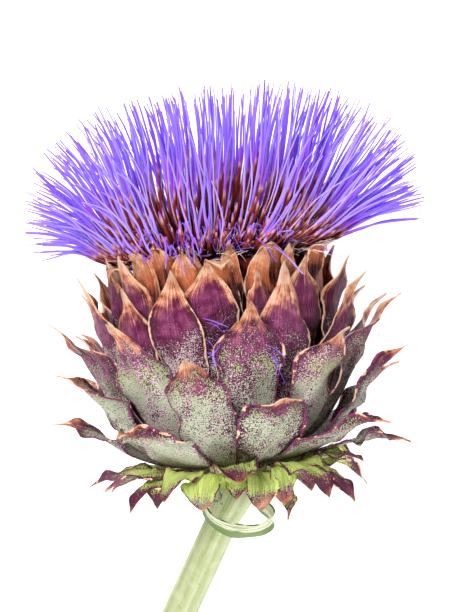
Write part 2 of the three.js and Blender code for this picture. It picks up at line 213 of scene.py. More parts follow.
REFLEXED = ring_of(
    (-80, -3, 45, -2, 34, 4, 12, 0.6, 0.1),
    (-58, -6, 44, -3, 33, 5, 15, 0.6, 0.2),
    (-48, -8, 39, -9.5, 32, 4.5, 10.5, 0.6, 0.5),
    (-36, -2, 36, -7, 30, 4, 9.5, 0.66, 1.3),
    (-25, 0, 26, -11, 27, 2.5, 11, 0.8, 1.55),
    (-4, 4, 39, -3, 31, 4.5, 14.5, 0.6, 0.4),
    (-3, 0, 17.5, -9, 20, -1, 7, 0.66, 1.5),
    (12.5, 2, 25.5, -12.4, 27.5, 2.5, 8.8, 0.84, 1.55),
    (27, 2, 26.5, -11.6, 28.5, 2.5, 7.8, 0.84, 1.55),
    (31.5, 2, 24.5, -17, 27.5, -5, 3.4, 0.5, 0.9),
    (40, 3, 38.5, -10.5, 32, 4, 12.5, 0.6, 0.45),
    (53, 2, 40, -13, 32, 3, 11, 0.6, 0.4),
    (68, 0, 40, -2, 33, 4, 12, 0.6),
    (92, 2, 38, -10, 31, 3, 12, 0.6),
    (116, 0, 40, -4, 32, 4, 13, 0.6),
    (140, 0, 34, -12, 29, 1, 13, 0.6),
    (164, 3, 38, -6, 32, 4, 13, 0.6),
    (188, 0, 30, -13, 28, 0, 13, 0.6),
    (212, -2, 39, -6, 32, 4, 13, 0.6),
    (236, 0, 32, -12, 29, 1, 13, 0.6),
    (259, 0, 40, -5, 32, 4, 12, 0.6),
)


def smooth(x, low, high):
    """A smooth step from 0 at low to 1 at high."""
    t = np.clip((x - low) / (high - low), 0, 1)
    return t * t * (3 - 2 * t)


def mix(low, high, share):
    """The value that lies at share of the way from low to high."""
    return low + (high - low) * share


def draw(item, use):
    """A repeatable draw from -1 to 1 for item number item and use number use."""
    scattered = np.sin(item * 127.1 + use * 311.7) * 43758.5453
    return 2 * (scattered - np.floor(scattered)) - 1


def share_of(item, use):
    """A repeatable draw from 0 to 1."""
    return 0.5 + 0.5 * draw(item, use)


def wave(turns):
    """A wave of height 1 that starts again at each whole number of turns."""
    return np.sin(2 * np.pi * turns)


def sine(degrees):
    """The sine of an angle in degrees."""
    return np.sin(np.radians(degrees))


def cosine(degrees):
    """The cosine of an angle in degrees."""
    return np.cos(np.radians(degrees))


def cubic(corners, s):
    """Points at shares s of a smooth curve, which two corners draw aside on its way from end to end."""
    start, leave, arrive, end = corners
    t = 1 - s
    return t**3 * start + 3 * t * t * s * leave + 3 * t * s * s * arrive + s**3 * end


# In the inner row every other bract stands higher and closer in, and every third one leans out.
INNER = [
    Bract(
        360 * i / INNER_COUNT + 4 * draw(i, 1),
        3 * draw(i, 2),
        mix(33, 29.6, i % 2) + 1.2 * draw(i, 3) + 3 * (i % 3 == 0),
        mix(64.8, 66.6, i % 2) + 1.8 * draw(i, 4) - 2.5 * (i % 3 == 0),
        mix(27.8, 26.4, i % 2),
        mix(52, 65, i % 3 == 0),
        9.4 + 3.4 * draw(i, 5),
        0.66,
    )
    for i in range(INNER_COUNT)
]

# The rows from the foot of the head to its rim.
ROWS = {
    "reflexed": Row((10, -4.4), (21, 0), (7.9, 11.5, -6, -2.1), 0.1, 0.8, 3.2, 0.85, 0, REFLEXED),
    "outer": Row((14.5, 0.4), (36, 3), (11.9, 16.5, -1.7, 1.5), 0.12, 0.5, 1.7, 0.55, 0.8, OUTER),
    "middle": Row((14, 3.8), (37, 7), (11.9, 16, 2.2, 5.4), 0.14, 0.42, 1.5, 0.52, 0.8, MIDDLE),
    "upper": Row((13.5, 7.8), (37, 12), (11.9, 15.5, 6.2, 9.4), 0.16, 0.42, 1.3, 0.64, 0.6, UPPER),
    "crown": Row((13.5, 11.8), (36.5, 17), (11.9, 15.5, 10.2, 13.4), 0.16, 0.42, 1.3, 0.7, 0.6, CROWN),
    "inner": Row((13.5, 15.6), (33.5, 22), (11.9, 15.5, 14.1, 16.9), 0.1, 0.6, 4, 0.9, 5, INNER),
}

# Violet threads that fell from the tuft. Each starts and ends at a place across and up the head, over
# bracts that stand at the radius given, and has a radius and a number of turns of its own.
FALLEN = [
    ((-14, 69), (-15, 60.5), 34.5, 0.3, 0.4),
    ((-6.3, 67), (-6.6, 61), 34.5, 0.2, 0.4),
    ((-8.4, 67.5), (-7.4, 60), 34.5, 0.16, 0.4),
    ((17, 63), (25, 55), 37.5, 0.26, 0.6),
    ((12, 66), (18, 59), 36.5, 0.14, 0.7),
    ((-12, 64), (-9, 58), 34.5, 0.14, 0.6),
    ((-5.5, 44.6), (1.6, 42), 36.5, 0.12, 0.5),
    ((-4.5, 43), (2.4, 40.4), 36.5, 0.08, 0.9),
    ((-3, 41.8), (1.5, 44.6), 36.5, 0.07, 0.7),
    ((-5, 38), (-2.2, 29.5), 37.4, 0.09, 1.1),
    ((-2.4, 38.5), (-5.4, 31), 37.4, 0.06, 1.6),
    ((-1.4, 36.6), (-6, 33.5), 37.4, 0.08, 0.6),
    ((-5.6, 34.6), (-1.4, 31), 37.4, 0.07, 0.8),
    ((12, 35), (17.4, 31.5), 39, 0.1, 0.6),
    ((12.6, 32.6), (15.8, 24), 39.4, 0.1, 0.3),
    ((13.4, 33.4), (14, 26), 39.4, 0.08, 0.7),
    ((11, 33.4), (16, 29), 39.4, 0.07, 0.5),
]


# ---------------- settings


def length(name, description, default):
    """A length setting, in metres."""
    return FloatProperty(name=name, description=description, default=default, unit="LENGTH", precision=5)


def amount(name, description, default, unit="NONE"):
    """A setting of any amount from 0 up."""
    return FloatProperty(name=name, description=description, default=default, min=0, unit=unit)


def number_of(name, description, default):
    """A setting for a number of pieces."""
    return IntProperty(name=name, description=description, default=default, min=1, max=1000)


def colour(name, description, code):
    """A colour setting, whose default is written as a web code and kept as linear light."""
    parts = [int(code[i : i + 2], 16) / 255 for i in (1, 3, 5)]
    tint = [p / 12.92 if p <= 0.04045 else ((p + 0.055) / 1.055) ** 2.4 for p in parts]
    return FloatVectorProperty(
        name=name, description=description, default=tint, subtype="COLOR", size=3, min=0, max=1
    )


class BractSettings(bpy.types.PropertyGroup):
    """Sizes and colours of the bracts."""

    keel: length("Keel", "Thickness of a bract along its keel", 0.00095)
    margin: length("Margin", "Thickness of a bract at its margin", 0.0004)
    wave: length("Wave", "How far the margins wave in and out", 0.0019)
    leaf: colour("Leaf", "Fresh green of the lowest bracts", "#cfe076")
    olive: colour("Olive", "Dark green of the lowest bracts' veins", "#66762c")
    fern: colour("Fern", "Yellow green of the outer and middle bracts", "#bcc088")
    sage: colour("Sage", "Grey green of the outer bracts", "#bfc4a9")
    silver: colour("Silver", "Pale pinkish grey of the haze and the upper bracts", "#e8ced0")
    plum: colour("Plum", "Dull purple of the speckles", "#48182f")
    berry: colour("Berry", "Bright red purple of the margins", "#8f2a68")
    wine: colour("Wine", "Red purple towards the tips of the bracts", "#660f42")
    # Painted shade: dark purple laid at the roots of the upper, crown and inner bracts, where the next ones
    # cover them, and over the speckles towards the margins.
    painted_shade: colour("Night", "Dark purple of shaded skin", "#34061c")
    straw: colour("Straw", "Palest dry skin, along margins and tips", "#fdd2b0")
    rust: colour("Rust", "Red brown where a dry tip begins", "#c9683e")
    amber: colour("Amber", "Orange brown of the dry tips", "#f29a6e")
    # A painted highlight: pink laid in patches over the purple speckles.
    highlight_pink: colour("Rose", "Pink gleam along the purple skin", "#bb5a8e")
    bark: colour("Bark", "Dark brown of the driest skin", "#45190f")


class FloretSettings(bpy.types.PropertyGroup):
    """Sizes and colours of the tuft."""

    count: number_of("Florets", "Number of florets", 740)
    styles: number_of("Styles", "Number of bare styles", 120)
    curls: number_of("Curls", "Number of threads curled round the rim", 230)
    bristles: number_of("Bristles", "Number of fine bristles round the rim", 420)
    radius: length("Radius", "Radius of a floret below its throat", 0.00033)
    violet: colour("Violet", "Violet of the florets", "#936cf2")
    lilac: colour("Lilac", "Lightest violet of the florets", "#b29af9")
    indigo: colour("Indigo", "Deepest violet of the florets", "#7a42e0")
    orchid: colour("Orchid", "Red violet above a floret's throat and of some bristles", "#a44cd4")
    blush: colour("Blush", "Pink of a floret's throat", "#d79a9c")
    maroon: colour("Maroon", "Red brown of the tubes", "#8a302c")
    # Painted shade: the darkest brown lies deep in the tuft, at the foot of the tubes and over the bed.
    foot_shade: colour("Soot", "Darkest brown, at the foot of the tubes", "#2c0212")
    bristle: colour("Bristle", "Cream of most bristles", "#ffeed4")


class StalkSettings(bpy.types.PropertyGroup):
    """Sizes and colours of the stalk and its leaf."""

    rib: length("Rib", "Height of the ribs along the stalk", 0.00025)
    strap: length("Strap", "Width of the small leaf", 0.0062)
    pale: colour("Pale", "Pale green of the stalk's ribs", "#aeb489")
    moss: colour("Moss", "Green of the grooves between the ribs", "#86965a")
    pith: colour("Pith", "Cream of the cut end and of the leaf's streaks", "#dcdcbc")
    dusky: colour("Dusky", "Dark green of the leaf's lines and the stalk's specks", "#4c6a38")


class StageSettings(bpy.types.PropertyGroup):
    """The floor, the light and the camera."""

    floor: colour("Floor", "Colour of the floor", "#f9f9f9")
    distance: length("Distance", "Camera's distance from the head's axis", 0.8)
    key: amount("Key", "Power of the light above the tuft's left-hand side", 12.6, "POWER")
    side: amount("Side", "Power of the light beyond the stalk", 7.4, "POWER")
    glow: amount("Glow", "Light that the floor gives off", 0.65)
    fill: amount("Fill", "Strength of the light all round", 0.31)


# ---------------- placing things


def around(radius, azimuth, height):
    """Points of the head's frame from radii, azimuths in degrees and heights."""
    x, y, z = np.broadcast_arrays(radius * sine(azimuth), -radius * cosine(azimuth), height)
    return np.stack([x, y, z], axis=-1)


def laid(points):
    """Points of the head's frame, in millimetres, laid down in the part's frame, in metres."""
    x, y, z = np.moveaxis(points, -1, 0)
    lean_sin, lean_cos = math.sin(HEAD_LEAN), math.cos(HEAD_LEAN)
    across = HEAD_BASE[0] + x * lean_cos - z * lean_sin
    along = HEAD_BASE[1] + x * lean_sin + z * lean_cos
    return MM * np.stack([across, along, np.maximum(AXIS_HEIGHT - y, FLOOR_GAP)], axis=-1)


def unit(vectors):
    """Vectors scaled to a length of 1."""
    return vectors / np.linalg.norm(vectors, axis=-1, keepdims=True)


# ---------------- making meshes


def start_alone():
    """Deselects everything, so that an operator acts on the new piece alone."""
    if bpy.context.object and bpy.context.object.mode != "OBJECT":
        bpy.ops.object.mode_set(mode="OBJECT")
    bpy.ops.object.select_all(action="DESELECT")


def only(piece):
    """Selects one object and makes it the active one."""
    start_alone()
    piece.select_set(True)
    bpy.context.view_layer.objects.active = piece


def apply(piece, kind, **settings):
    """Adds a modifier of a kind with its settings and applies it."""
    only(piece)
    bpy.ops.object.modifier_add(type=kind)
    modifier = piece.modifiers[-1]
    for key, value in settings.items():
        setattr(modifier, key, value)
    bpy.ops.object.modifier_apply(modifier=modifier.name)


def points_of(piece):
    """A mesh's points as an array."""
    flat = np.zeros(3 * len(piece.data.vertices), np.float32)
    piece.data.vertices.foreach_get("co", flat)
    return flat.reshape(-1, 3).astype(float)


def reshape(piece, points):
    """Moves a mesh's points to the places in an array."""
    piece.data.vertices.foreach_set("co", np.ascontiguousarray(points, np.float32).ravel())
    piece.data.update()


def mark(piece, **values):
    """Stores a number at each point of a mesh, for its material to read."""
    for name, value in values.items():
        layer = piece.data.attributes.new(name, "FLOAT", "POINT")
        spread = np.broadcast_to(value, len(piece.data.vertices)).astype(np.float32)
        layer.data.foreach_set("value", spread)


def repeated(piece, count):
    """Repeats a mesh on the spot and returns its points, as one list for each copy."""
    apply(piece, "ARRAY", count=count, use_relative_offset=False)
    return points_of(piece).reshape(count, -1, 3)


def tube_form(sides, rings, cap="NGON"):
    """A plain closed tube along Z with a radius of 1, cut in rings, from z = 0 to 1."""
    start_alone()
    bpy.ops.mesh.primitive_cylinder_add(vertices=sides, radius=1, depth=1, end_fill_type=cap)
    piece = bpy.context.object
    mesh = piece.data
    upright = [abs(mesh.vertices[a].co.z - mesh.vertices[b].co.z) > 0.5 for a, b in mesh.edge_keys]
    bpy.ops.object.mode_set(mode="EDIT")
    bpy.ops.mesh.select_mode(type="EDGE")
    bpy.ops.mesh.select_all(action="DESELECT")
    bpy.ops.object.mode_set(mode="OBJECT")
    mesh.edges.foreach_set("select", upright)
    bpy.ops.object.mode_set(mode="EDIT")
    bpy.ops.mesh.subdivide(number_cuts=rings - 1)
    bpy.ops.object.mode_set(mode="OBJECT")
    reshape(piece, points_of(piece) + (0, 0, 0.5))
    return piece


def blade_form(along, across):
    """A flat slab, with x from -1 to 1, y from 0 at the root to 1 at the tip, and z from 0 to 1 outside."""
    start_alone()
    bpy.ops.mesh.primitive_grid_add(x_subdivisions=across, y_subdivisions=along, size=2)
    piece = bpy.context.object
    reshape(piece, points_of(piece) * (1, 0.5, 1) + (0, 0.5, 0))
    apply(piece, "SOLIDIFY", thickness=1, offset=1, use_even_offset=False)
    return piece


def turned_form(profile, sides):
    """A closed solid of revolution about the head's axis, laid down, from radius and height corners."""
    piece = tube_form(sides, len(profile) - 1)
    x, y, z = points_of(piece).T
    place = np.clip(z, 0, 1) * (len(profile) - 1)
    radii, heights = np.array(profile, float).T
    steps = np.arange(len(profile))
    radius = np.interp(place, steps, radii)
    reshape(piece, laid(np.stack([x * radius, y * radius, np.interp(place, steps, heights)], axis=-1)))
    return piece


def finished(piece, name, material, slot, *nodes):
    """Names a piece, smooths it, gives it its material and hands it over in place of the plain nodes."""
    piece.name = name
    piece.data.name = name
    piece.data.materials.clear()
    piece.data.materials.append(material)
    only(piece)
    bpy.ops.object.shade_smooth_by_angle(angle=SMOOTH_ANGLE)
    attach(piece, "root")
    if nodes:
        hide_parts(*nodes)
    return piece


# ---------------- making materials


class Wire:
    """A socket that takes part in Python arithmetic, by adding nodes to its recipe."""

    def __init__(self, recipe, socket):
        self.recipe = recipe
        self.socket = socket

    def math(self, operation, *values):
        """The result of a Math node on some values."""
        return self.recipe.node("ShaderNodeMath", {"operation": operation}, dict(enumerate(values)))

    def __add__(self, other):
        return self.math("ADD", self, other)

    def __sub__(self, other):
        return self.math("SUBTRACT", self, other)

    def __mul__(self, other):
        return self.math("MULTIPLY", self, other)

    def __rsub__(self, other):
        return self.math("SUBTRACT", other, self)

    def __abs__(self):
        return self.math("ABSOLUTE", self)

    __radd__ = __add__
    __rmul__ = __mul__

    def step(self, low, high):
        """A smooth step from 0 where this value is low to 1 where it is high."""
        ends = {"Value": self, "From Min": low, "From Max": high}
        return self.recipe.node("ShaderNodeMapRange", {"interpolation_type": "SMOOTHSTEP"}, ends)


class Recipe:
    """A material and the calls that build its nodes."""

    def __init__(self, name, roughness=0.6, shine=0.5):
        self.material = bpy.data.materials.new(name)
        self.material.use_nodes = True
        self.tree = self.material.node_tree
        self.shader = self.tree.nodes["Principled BSDF"]
        self.shader.inputs["Roughness"].default_value = roughness
        self.shader.inputs["Specular IOR Level"].default_value = shine

    def feed(self, entry, value):
        """Feeds a socket from a wire, a number or a colour."""
        if isinstance(value, Wire):
            self.tree.links.new(value.socket, entry)
        elif entry.type == "RGBA":
            entry.default_value = (*value, 1)
        else:
            entry.default_value = value

    def node(self, kind, settings=None, values=None, output=0):
        """One output of a new node of a kind, with its settings and the values or wires of its sockets."""
        made = self.tree.nodes.new(kind)
        for key, value in (settings or {}).items():
            if key == "stops":
                self.set_stops(made.color_ramp, value)
            else:
                setattr(made, key, value)
        for key, value in (values or {}).items():
            self.feed(made.inputs[key], value)
        return Wire(self, made.outputs[output])

    @staticmethod
    def set_stops(ramp, stops):
        """Gives a colour ramp its places and colours."""
        while len(ramp.elements) < len(stops):
            ramp.elements.new(1)
        for element, (place, tint) in zip(ramp.elements, stops):
            element.position = place
            element.color = (*tint, 1)

    def ramp(self, value, stops):
        """A colour that changes with a value, through stops of place and colour."""
        return self.node("ShaderNodeValToRGB", {"stops": stops}, {"Fac": value})

    def numbers(self, *names):
        """The numbers that the mesh stores at its points under some names."""
        return [self.node("ShaderNodeAttribute", {"attribute_name": name}, output="Fac") for name in names]

    def noise(self, scale, detail=2, vector=None):
        """Cloudy noise over the object, or over another vector."""
        where = vector or self.node("ShaderNodeTexCoord", output="Object")
        return self.node("ShaderNodeTexNoise", {}, {"Vector": where, "Scale": scale, "Detail": detail})

    def vector(self, x, y, z):
        """A vector of three numbers or wires."""
        return self.node("ShaderNodeCombineXYZ", {}, {"X": x, "Y": y, "Z": z})

    def blend(self, share, low, high):
        """The colour at share of the way from one colour to another."""
        return self.node("ShaderNodeMix", {"data_type": "RGBA"}, {0: share, 6: low, 7: high}, output=2)

    def coated(self, tint, *coats):
        """A colour under some coats, each with the share that it covers and its own colour."""
        for share, coat in coats:
            tint = self.blend(share, tint, coat)
        return tint

    def paint(self, tint, bump=None, strength=0.3, distance=0.0003):
        """Links the colour and the relief to the shader and returns the material."""
        self.feed(self.shader.inputs["Base Color"], tint)
        if bump:
            relief = {"Height": bump, "Strength": strength, "Distance": distance}
            self.feed(self.shader.inputs["Normal"], self.node("ShaderNodeBump", {}, relief))
        return self.material


# The skin of a row of bracts. pale and dark are the colours of the ground and of the speckles, from the
# root to the tip. low and high are how much of it the speckles cover below and above turn, a share of the
# length. dry is where the dry tip starts and fold how far the dry skin runs down the margins. line is the
# colour of the margin's edge and back the two colours of the inner face, unless that is like the outer
# one. highlight is how strong the painted pink highlight is, streak how far the speckles run into
# streaks, haze how grey the ground is and vein how dark its veins are.
LOOK_FIELDS = "pale dark low high turn dry fold line back gleam streak haze vein"
Look = namedtuple("Look", LOOK_FIELDS, defaults=[0, 0.5, 0])


def bract_skin(name, look, settings):
    """Makes a row's skin: speckled, with a red margin, a dry tip and a plainer inner face."""
    recipe = Recipe(name, 0.5, 0.3)
    along, width, tone, fresh, outside = recipe.numbers("along", "across", "tone", "fresh", "outside")
    across = abs(width)
    cloud = recipe.noise(110, 3)
    patch = recipe.noise(330, 3)
    grain = recipe.noise(2700)
    lanes = width * 20 + tone * 40 + cloud * 4
    fibres = recipe.noise(1, 5, recipe.vector(lanes, along * 3, tone * 11))
    drift = along + (cloud - 0.5) * 0.3 + (fibres - 0.5) * 0.15
    cover = look.low + drift.step(look.turn - 0.25, look.turn + 0.2) * (look.high - look.low)
    cover = cover + across.step(0.75, 1) * 0.25 + (patch - 0.5) * 0.5 - (fresh - 0.5) * 0.4
    spots = grain * (1 - look.streak) + fibres * look.streak
    dots = (spots + (cover - 0.5) * 0.45 + (cloud - 0.5) * 0.4).step(0.48, 0.525)
    # A painted highlight: pink patches along the purple skin towards the tip, standing in for its sheen.
    gleam = (fibres * 0.4 + patch * 0.6).step(0.4, 0.7) * drift.step(0.48, 0.72) * look.gleam
    # Painted shade: the speckles darken towards the margins, where the blades overlap.
    edge = across.step(0.4, 1) * 0.7
    dark = recipe.coated(recipe.ramp(drift, look.dark), (gleam, settings.highlight_pink), (edge, settings.painted_shade))
    mist = cloud * 0.5 + patch * 0.5
    haze = mist.step(0.45, 0.6) * look.haze
    veins = fibres.step(0.52, 0.6) * look.vein
    ground = recipe.coated(recipe.ramp(drift, look.pale), (haze, settings.silver), (veins, settings.olive))
    line = (across + (patch - 0.5) * 0.2).step(0.92, 0.97) * along.step(0.2, 0.4) * patch.step(0.28, 0.5)
    fleck = across.step(0.88, 0.97) * mist.step(0.54, 0.6) * 0.5
    dry = along + across.step(0.35, 1) * look.fold + (fibres - 0.5) * 0.14 + (patch - 0.5) * 0.2
    dry = dry + (tone - 0.5) * 0.06 + fleck - look.dry
    age = (dry + 0.08) * 4.5 + (fibres - 0.5) * 1.3 + (patch - 0.5) * 1.2 + (grain - 0.5) * 0.5
    stops = [(0, settings.bark), (0.24, settings.rust), (0.5, settings.amber), (0.95, settings.straw)]
    husk = recipe.ramp(age, stops)
    skin = recipe.coated(ground, (dots, dark), (line, look.line), (dry.step(-0.1, 0.06), husk))
    if look.back:
        inner = recipe.blend(fibres.step(0.35, 0.65), look.back[0], look.back[1])
        inner = recipe.blend(dry.step(-0.1, 0.1), inner, husk)
        skin = recipe.blend(outside.step(0.3, 0.7), inner, skin)
    lighter = recipe.node("ShaderNodeGamma", {}, {"Color": skin, "Gamma": 0.85})
    return recipe.paint(recipe.blend(tone * 0.7, skin, lighter), fibres + grain * 0.7, 1, 0.0009)


def floret_skin(name, stops, tuft):
    """Makes the skin of florets: its colours from root to tip, lighter or deeper from one to the next."""
    recipe = Recipe(name, 0.45, 0.2)
    along, tone = recipe.numbers("along", "tone")
    drift = along + (tone - 0.5) * 0.08 + (recipe.noise(160) - 0.5) * 0.1
    violet = drift.step(0.38, 0.48)
    light = tone.step(0.5, 1) * violet * 0.85
    deep = (1 - tone).step(0.6, 1) * violet * 0.8
    skin = recipe.coated(recipe.ramp(drift, stops), (light, tuft.lilac), (deep, tuft.indigo))
    return recipe.paint(skin)


# ---------------- the bracts


def keel_at(row, bract, s):
    """A keel's radius and height at shares s of its length, and the normal to its outer face."""
    above_floor = (AXIS_HEIGHT - 2 * FLOOR_GAP) / max(0.5, -cosine(bract.azimuth))
    tip = (min(bract.tip_r, above_floor), bract.tip_h)
    corners = np.array([row.root, row.rise, (bract.bow_r, bract.bow_h), tip])
    s = s[:, None]
    place = cubic(corners, s)
    legs = np.diff(corners, axis=0)
    slope = unit((1 - s) ** 2 * legs[0] + 2 * (1 - s) * s * legs[1] + s**2 * legs[2])
    return place[:, 0], place[:, 1], slope[:, 1], -slope[:, 0]


def half_width(row, bract, s):
    """Half the width of a blade at shares s of its length, from its root by its widest place to the tip."""
    below = np.sin(np.pi / 2 * np.minimum(1, s / bract.widest))
    above = np.maximum(0, (s - bract.widest) / (1 - bract.widest))
    share = mix(row.foot, 1, below) * (1 - above**row.round) * mix(1, row.waist, smooth(above, 0.1, 0.75))
    return bract.width / 2 * np.maximum(BLADE_TIP, share)


def relief(s, v, height, seed):
    """How far a blade stands out of its plain form: a low keel, waving margins, a rolled rim and dents."""
    side = np.where(v > 0, 22, 23)
    waves = wave((2.2 + 0.7 * draw(seed, side)) * s + draw(seed, side + 2))
    waves = waves + 0.3 * wave(5.3 * s + draw(seed, side + 4))
    rolled = (-0.1 - 0.7 * draw(seed, side + 6)) * smooth(np.abs(v), 0.72, 1)
    dents = 0.45 * np.sin(9 * s + 5 * v + 6 * draw(seed, 24))
    dents = dents + 0.2 * np.sin(21 * s - 11 * v + 6 * draw(seed, 27))
    ridge = 0.5 * np.exp(-((v / 0.14) ** 2)) * smooth(s, 0.1, 0.4) * (1 - smooth(s, 0.4, 1))
    ramp = smooth(s, 0.25, 0.6) * (1 - smooth(s, 0.8, 0.98))
    return ridge + ramp * (height * v * v * waves + rolled + dents * (1 - v * v))


def blade(row, bract, form, settings, seed):
    """Points of one bract from the points of a flat slab."""
    v, s = form[:, 0], form[:, 1]
    radius, height, out_r, out_h = keel_at(row, bract, s)
    # The margins are ragged, each in its own way.
    side = np.where(v > 0, 31, 32)
    ragged = 0.05 * np.sin(15 * s + 9 * draw(seed, side)) + 0.03 * np.sin(39 * s + 9 * draw(seed, side + 2))
    ragged = ragged - 0.09 * np.maximum(0, np.sin(24 * s + 9 * draw(seed, side + 4))) ** 4
    half = half_width(row, bract, s) * (1 + ragged * smooth(s, 0.3, 0.6))
    keel = mix(settings.keel, settings.margin, s) / MM
    thick = mix(keel, settings.margin / MM, np.abs(v)) * mix(1, 0.5, smooth(s, 0.85, 1))
    # The inner face lies inward by the thickness, and the whole blade by its hollow and its curled tip.
    hollow = row.cup * half * v * v * smooth(s, 0.35, 0.9)
    inward = (1 - form[:, 2]) * thick + hollow - relief(s, v, settings.wave / MM, seed)
    inward = inward - row.lip * (0.3 + draw(seed, 34)) * smooth(s, 0.85, 1) ** 1.5 * (1 - 0.5 * v * v)
    azimuth = bract.azimuth + bract.turn * smooth(s, 0.3, 1) + 2.5 * draw(seed, 33) * smooth(s, 0.8, 1)
    spread = np.degrees(v * half / np.maximum(radius, BLADE_LEAST_R))
    return around(radius - out_r * inward, azimuth + spread, height - out_h * inward)


def bract_row(name, material, settings):
    """Makes a ring of bracts and its collar in place of the plain ring."""
    row = ROWS[name]
    piece = blade_form(*BLADE_FACES)
    forms = repeated(piece, len(row.bracts))
    # The faces stand closer together towards the tip.
    forms[..., 1] = 1 - (1 - np.clip(forms[..., 1], 0, 1)) ** 1.3
    seeds = 100 * list(ROWS).index(name) + np.arange(len(row.bracts))
    blades = [blade(row, *one, settings, seed) for *one, seed in zip(row.bracts, forms, seeds)]
    fresh = [bract.fresh for bract in row.bracts]
    reshape(piece, laid(np.concatenate(blades)))
    mark(
        piece,
        along=forms[..., 1].ravel(),
        across=forms[..., 0].ravel(),
        outside=forms[..., 2].ravel(),
        tone=np.repeat(share_of(seeds, 26), forms.shape[1]),
        fresh=np.repeat(fresh, forms.shape[1]),
    )
    inside, outside, low, high = row.collar
    corners = [(inside, low), (outside, low), (outside, high), (inside, high)]
    ring = turned_form(corners, COLLAR_SIDES)
    mark(ring, along=0, across=0, outside=1, tone=0.5, fresh=0.5)
    only(piece)
    ring.select_set(True)
    bpy.ops.object.join()
    slot = f"{name}_bract"
    return finished(piece, f"{slot}_row", material, slot, f"{slot}s")


# ---------------- the tuft


def tuft_paths(count, rings, use, shortest=0.9):
    """Middle lines of florets that rise from the bed over the rim, lean out and curve up to their tips.

    With them come the azimuth of each floret's root and its share of the way from the axis to the rim.
    """
    i = np.arange(count)
    share = (i + 0.5) / count
    azimuth = i * GOLDEN_ANGLE + 4 * draw(i, use)
    facing = cosine(azimuth)
    spread = mix(SPREAD_SIDE, np.where(facing > 0, SPREAD_FRONT, SPREAD_UNDER), facing**2)
    slant = np.degrees(2 * np.arcsin(sine(spread / 2) * np.sqrt(share))) + 3.5 * draw(i, use + 1)
    facing = np.maximum(0, facing)
    # The tips stand out a little at the tuft's shoulders and stay back in front.
    size = mix(shortest, 1, share_of(i, use + 2)) * (1 + 0.1 * (sine(2 * slant) * sine(azimuth)) ** 2)
    size = size * (1 - 0.2 * (facing * sine(slant)) ** 2)
    crossing = azimuth + 15 * draw(i, use + 7) + 18 * sine(2 * azimuth)

    def aim(angle, distance):
        """Steps at an angle from the axis, each turned aside so that it crosses its neighbours'."""
        return around(distance * sine(angle), crossing, distance * cosine(angle))

    root = around((BED_R - 2) * np.sqrt(share), azimuth, BED_TOP - 1 - 3 * share)
    tip = aim(slant, size) * (TUFT_R, TUFT_R, TUFT_RISE) + (TUFT_CENTRE[0], 0, TUFT_CENTRE[1])
    curl = (8 + 10 * draw(i, use + 8)) * sine(2 * slant)
    leave = root + aim(np.minimum(2.2 * slant, 80), FLORET_RISE)
    arrive = tip - aim(slant - curl, FLORET_SWEEP)
    s = np.linspace(0, 1, rings)[None, :, None]
    path = cubic([corner[:, None, :] for corner in (root, leave, arrive, tip)], s)
    # A broad bend and a finer one, each on its own side.
    sway = np.stack([draw(i, use + k) for k in (3, 4, 5)], axis=-1)[:, None, :]
    turn = draw(i, use + 6)[:, None, None] / 2
    bend = 2 + 2.2 * facing[:, None, None]
    path = path + bend * sway * wave(s * 0.7 + turn) * s * (1 - 0.4 * s)
    path = path + 0.35 * sway[..., ::-1] * wave(s * 2.5 + turn) * s
    path[..., 1] = np.clip(path[..., 1], -TUFT_FRONT, AXIS_HEIGHT - TUFT_GAP)
    return path, azimuth, share


def cut_short(paths, shares):
    """Paths cut off at a share of their length, with one share for each path."""
    rings = paths.shape[1]
    place = shares[:, None] * np.arange(rings)
    first = np.minimum(place.astype(int), rings - 2)
    part = (place - first)[..., None]
    which = np.arange(len(paths))[:, None]
    return mix(paths[which, first], paths[which, first + 1], part)


def thread_piece(paths, radii, sides=ASLANT, corners=5, along=None, light=0):
    """A mesh of tubes along paths, with a radius for each ring and sides that tell where its section lies.

    Each point is marked with along, its share of the length unless that is given for each ring, and with
    its tube's tone. light is how far that tone is drawn towards the lightest.
    """
    count, rings = paths.shape[:2]
    along = np.linspace(0, 1, rings) if along is None else along
    radii, along = (np.broadcast_to(values, (count, rings)) for values in (radii, along))
    piece = tube_form(corners, rings - 1)
    forms = repeated(piece, count)
    place = np.arange(count)[:, None], np.rint(forms[..., 2] * (rings - 1)).astype(int)
    ahead = unit(np.gradient(paths, axis=1))
    side = unit(np.cross(ahead, np.broadcast_to(sides, (count, 3))[:, None, :]))
    over = np.cross(ahead, side)
    spoke = forms[..., 0:1] * side[place] + forms[..., 1:2] * over[place]
    reshape(piece, laid(paths[place] + spoke * radii[place][..., None]))
    tones = mix(share_of(np.arange(count), 31), 1, light)
    mark(piece, along=along[place].ravel(), tone=np.repeat(tones, forms.shape[1]))
    return piece


def make_bed(tuft):
    """Makes the bed that the florets stand in, inside the innermost bracts, mottled between painted shade
    and the tubes' red brown.
    """
    side = [(1, 22.4), (18.5, 22.2), (21.6, 34), (23.4, 48), (BED_R, 58), (BED_R, 61)]
    piece = turned_form([*side, (13, 63.6), (1, BED_TOP)], ROUND_SIDES)
    recipe = Recipe("Floret bed", 0.9, 0.1)
    tint = recipe.blend(recipe.noise(500).step(0.35, 0.6), tuft.foot_shade, tuft.maroon)
    return finished(piece, "floret_bed", recipe.paint(tint), "floret", "florets")


